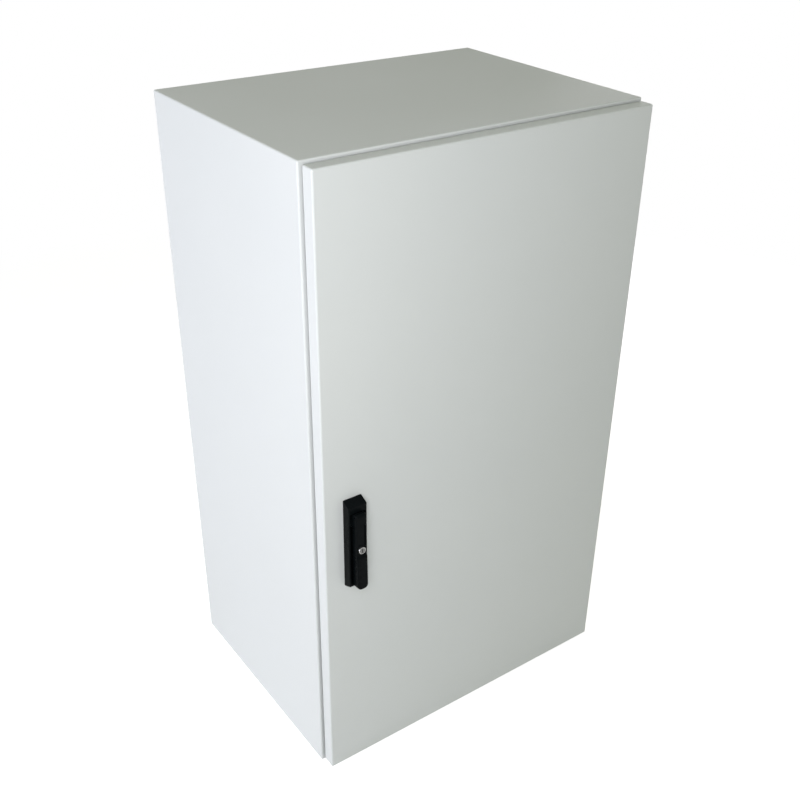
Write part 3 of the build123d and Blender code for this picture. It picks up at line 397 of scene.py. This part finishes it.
# Brass earth studs with a nut against the sheet that carries a washer for the ring terminal
earthNut = {"across": 8, "height": 3.2, "bore": 2.2, "washer": 4.6, "washerTop": 4.0, "washerEdge": 0.1}
earths = {
    "body": {"spot": ((-298.5, 150, 160), right), "radius": 2.5, "length": 20, "body": "cabinet"},
    "door": {"spot": ((160, doorInside, 150), rear), "radius": 2.5, "length": 10, "body": "door"},
}
for name, earth in earths.items():
    stud, nutName = name + "-earth-stud", name + "-earth-nut"
    shape = bmesh.new()
    threadedRod(shape, earth["radius"], 0, earth["length"])
    keep(stud, atEach(shape, [earth["spot"]]), "earth_brass", earth["body"], stud.replace("-", "_"))
    shape = bmesh.new()
    hexagon(shape, earthNut["across"], 0, earthNut["height"])
    turned(shape, [
        (earthNut["bore"], earthNut["height"]), (earthNut["washer"], earthNut["height"]),
        (earthNut["washer"], earthNut["washerTop"] - earthNut["washerEdge"]),
        (earthNut["washer"] - earthNut["washerEdge"], earthNut["washerTop"]),
        (earthNut["bore"], earthNut["washerTop"]),
    ])
    keep(nutName, atEach(shape, [earth["spot"]]), "earth_brass", earth["body"], nutName.replace("-", "_"))
print("earth studs made")

# Foam seal of the door: a strip with rounded shoulders, pressed in along its middle by the body's lip
seal = {
    "width": 537.5, "height": 987.5, "middle": 525, "corner": 9, "cornerSteps": 6, "base": doorInside,
    "section": [  # across the strip, above the door's sheet
        (-5, 0), (-5, 6.6), (-4.6, 8.1), (-3.6, 9.0), (-2.4, 9.2), (-1.3, 8.9), (-0.7, 8.55),
        (0.7, 8.55), (1.3, 8.9), (2.4, 9.2), (3.6, 9.0), (4.6, 8.1), (5, 6.6), (5, 0),
    ],
}
shape = bmesh.new()
startX, startZ = -seal["width"] / 2 + seal["corner"], seal["middle"] - seal["height"] / 2
verts = [
    shape.verts.new((startX * mm, (seal["base"] + above) * mm, (startZ - across) * mm))
    for across, above in seal["section"]]
loop = [shape.edges.new((verts[i - 1], verts[i])) for i in range(len(verts))]
runs = [seal["width"] - 2 * seal["corner"], seal["height"] - 2 * seal["corner"]] * 2
place = Vector((startX, seal["base"], startZ)) * mm
for quarter, run in enumerate(runs):
    along = Vector((cos(quarter * pi / 2), 0, sin(quarter * pi / 2)))
    inward = Vector((-along.z, 0, along.x))
    made = bmesh.ops.extrude_edge_only(shape, edges=loop)["geom"]
    moved = vertsIn(made)
    loop = [edge for edge in edgesIn(made) if set(edge.verts) <= set(moved)]
    bmesh.ops.translate(shape, verts=moved, vec=along * run * mm)
    place += along * run * mm
    center = place + inward * seal["corner"] * mm
    bent = bmesh.ops.spin(
        shape, geom=moved + loop, cent=center, axis=front, angle=pi / 2, steps=seal["cornerSteps"])
    loop = edgesIn(bent["geom_last"])
    place = center + along * seal["corner"] * mm
keep("door-seal", shape, "seal_foam", "door", "door_gasket")
print("seal made")

# Rubber grommets: grooved round the plate's edge, with a hollow stepped dome to be cut open for a cable
grommet = {
    "spots": [((x, 60, 0), up) for x in (-95, 0, 95)],
    "segments": 48,
    "profile": [  # the dome's outside from the middle, the groove, and the inside back to the middle
        (0, 15.5), (3.2, 15.5), (3.8, 15.2), (4.2, 14.3), (8.6, 14.1), (9.3, 13.7), (9.6, 12.4), (13.6, 12.1),
        (14.4, 11.7), (15, 10.6), (15.2, 8.9), (24.2, 8.5), (24.9, 8.0), (25, 7.2), (24.6, 6.6), (20, 6.5),
        (20, 4.5), (24.6, 4.4), (25, 3.8), (24.9, 3.0), (24.3, 2.6), (18.4, 2.5), (18, 2.8), (17.6, 7.2),
        (13.6, 7.6), (13.2, 10.6), (8.4, 11.0), (8.0, 12.7), (3.2, 13.1), (0, 13.2),
    ],
}
shape = bmesh.new()
turned(shape, grommet["profile"], segments=grommet["segments"])
keep("entry-grommets-detailed", atEach(shape, grommet["spots"]), "black_rubber", "cabinet", "entry_grommets")
print("grommets made")

# Lock: a barrel with a chamfered ring and a groove round the plug, and the plug with its key slot
lock = {
    "spot": ((handleX, -254.5, lockZ), front), "long": 11.5, "ring": 6, "plug": 3.7, "play": 0.05,
    "chamfer": (0.8, 0.7), "shoulder": 0.25, "groove": (0.95, 0.55), "grooveDepth": (0.9, 1.0),
    "slot": (1.5, 5.6), "slotDepth": 5, "nearTop": 0.1, "nearMiddle": 0.3,
    "ringSegments": 64, "plugSegments": 48,
}
shape = bmesh.new()
ring, plug, tip = lock["ring"], lock["plug"], lock["long"]
turned(shape, [
    (plug + lock["play"], 0), (ring, 0), (ring, tip - lock["chamfer"][1]),
    (ring - lock["shoulder"], tip - lock["shoulder"]), (ring - lock["chamfer"][0], tip),
    (plug + lock["groove"][0], tip), (plug + lock["groove"][1], tip - lock["grooveDepth"][0]),
    (plug + lock["play"], tip - lock["grooveDepth"][1]),
], closed=True, segments=lock["ringSegments"])
keep("lock-barrel-detailed", atEach(shape, [lock["spot"]]), "lock_nickel", "lever", "lock_barrel")


def facesAtTop(shape):
    lowest = (lock["long"] - lock["nearTop"]) * mm
    return [face for face in shape.faces if face.calc_center_median().z > lowest]


shape = bmesh.new()
prism(shape, lock["plugSegments"], lock["plug"], lock["long"])
for axis in (0, 1):
    normal = Vector((1 - axis, axis, 0))
    for side in sides:
        cut = normal * side * lock["slot"][axis] / 2 * mm
        faces = facesAtTop(shape)
        around = list({edge for face in faces for edge in face.edges})
        corners = list({vert for face in faces for vert in face.verts})
        bmesh.ops.bisect_plane(shape, geom=faces + around + corners, dist=tiny, plane_co=cut, plane_no=normal)
slotFace = [
    face for face in facesAtTop(shape) if face.calc_center_median().xy.length < lock["nearMiddle"] * mm]
sunk = vertsIn(bmesh.ops.extrude_face_region(shape, geom=slotFace)["geom"])
bmesh.ops.translate(shape, verts=sunk, vec=(0, 0, -lock["slotDepth"] * mm))
bmesh.ops.delete(shape, geom=slotFace, context="FACES_ONLY")
keep(
    "key-plug-detailed", atEach(shape, [lock["spot"]]), "lock_nickel", "key_plug", "key_plug",
    finish="plug_face")
print("lock made")

# Studio: two soft panels on the left, one low behind on the right, a pale floor and a white surround
lamps = {
    "sidePanel": {
        "place": (-2.2, 0.6, 0.9), "aim": (-0.3, 0.0, 0.5), "size": (1.4, 1.6),
        "watts": 32.6, "tint": (0.89, 0.87, 1.0),
    },
    "frontPanel": {
        "place": (-0.95, -1.3, 1.3), "aim": (-0.15, -0.24, 0.62), "size": (0.8, 0.9),
        "watts": 20.6, "tint": (0.98, 0.95, 1.0),
    },
    "farPanel": {
        "place": (2.35, 1.2, 0.72), "aim": (0.2, 0.1, 0.5), "size": (1.3, 1.1),
        "watts": 26, "tint": (0.96, 0.93, 1.0),
    },
}
surround = {"level": 0.228, "tint": (0.935, 1.0, 0.68)}
floorSpec = {"opening": (0.29, 0.2), "reach": 60, "color": 0.72, "fade": (0.9, 2.4), "lift": 0.72}
white = (1, 1, 1, 1)

for name, lamp in lamps.items():
    data = bpy.data.lights.new(name, "AREA")
    data.shape = "RECTANGLE"
    data.size, data.size_y = lamp["size"]
    data.energy = lamp["watts"]
    data.color = lamp["tint"]
    light = bpy.data.objects.new(name, data)
    scene.collection.objects.link(light)
    toward = Vector(lamp["aim"]) - Vector(lamp["place"])
    turn = toward.to_track_quat("-Z", "Y").to_matrix().to_4x4()
    light.matrix_world = Matrix.Translation(lamp["place"]) @ turn


def seenRays(tree):  # 1 for rays that show the surround itself, 0 for those that light the object
    rays = addNode(tree, "ShaderNodeLightPath")
    seen = rays.outputs["Is Camera Ray"]
    for kind in ("Is Glossy Ray", "Is Transmission Ray"):
        either = addNode(tree, "ShaderNodeMath", operation="MAXIMUM")
        tree.links.new(seen, either.inputs[0])
        tree.links.new(rays.outputs[kind], either.inputs[1])
        seen = either.outputs[0]
    return seen


def mixed(tree, share, first, second):
    mix = addNode(tree, "ShaderNodeMixShader")
    tree.links.new(share, mix.inputs["Fac"])
    tree.links.new(first, mix.inputs[1])
    tree.links.new(second, mix.inputs[2])
    return mix.outputs["Shader"]


world = bpy.data.worlds.new("surround")
scene.world = world
tree = newTree(world)
tree.nodes.clear()
soft = addNode(tree, "ShaderNodeBackground", {"Color": (*surround["tint"], 1), "Strength": surround["level"]})
plain = addNode(tree, "ShaderNodeBackground", {"Color": white, "Strength": 1.0})
output = addNode(tree, "ShaderNodeOutputWorld")
both = mixed(tree, seenRays(tree), soft.outputs["Background"], plain.outputs["Background"])
tree.links.new(both, output.inputs["Surface"])

# The floor is left open under the cabinet, so that the underside gets light
shape = bmesh.new()
inside = bmesh.ops.create_grid(shape, x_segments=1, y_segments=1, size=1)["verts"]
bmesh.ops.scale(shape, vec=(*floorSpec["opening"], 1), verts=inside)
covered = shape.faces[:]
outside = vertsIn(bmesh.ops.extrude_edge_only(shape, edges=shape.edges[:])["geom"])
bmesh.ops.scale(shape, vec=(floorSpec["reach"], floorSpec["reach"], 1), verts=outside)
bmesh.ops.delete(shape, geom=covered, context="FACES_ONLY")
shape.normal_update()
bmesh.ops.reverse_faces(shape, faces=[face for face in shape.faces if face.normal.z < 0])
mesh = bpy.data.meshes.new("floor")
shape.to_mesh(mesh)
shape.free()
floor = bpy.data.objects.new("floor", mesh)
scene.collection.objects.link(floor)

# It is pale near the cabinet, fades to white further out and is clear from below
material = bpy.data.materials.new("paleFloor")
tree = newTree(material)
tree.nodes.clear()
output = addNode(tree, "ShaderNodeOutputMaterial")
matt = addNode(tree, "ShaderNodeBsdfDiffuse", {"Color": (*[floorSpec["color"]] * 3, 1)})
lift = addNode(tree, "ShaderNodeEmission", {"Color": white, "Strength": floorSpec["lift"]})
lifted = addNode(tree, "ShaderNodeAddShader")
tree.links.new(matt.outputs["BSDF"], lifted.inputs[0])
tree.links.new(lift.outputs["Emission"], lifted.inputs[1])
plainWhite = addNode(tree, "ShaderNodeEmission", {"Color": white, "Strength": 1.0})
distance = addNode(tree, "ShaderNodeVectorMath", operation="LENGTH")
tree.links.new(objectPlace(tree), distance.inputs[0])
away = spread(tree, distance.outputs["Value"], 0, 1, *floorSpec["fade"])
faded = mixed(tree, away, lifted.outputs["Shader"], plainWhite.outputs["Emission"])
above = mixed(tree, seenRays(tree), matt.outputs["BSDF"], faded)
below = addNode(tree, "ShaderNodeBsdfTransparent").outputs["BSDF"]
facing = addNode(tree, "ShaderNodeNewGeometry").outputs["Backfacing"]
tree.links.new(mixed(tree, facing, above, below), output.inputs["Surface"])
floor.data.materials.append(material)
scene.view_settings.view_transform = "Standard"
print("studio set")
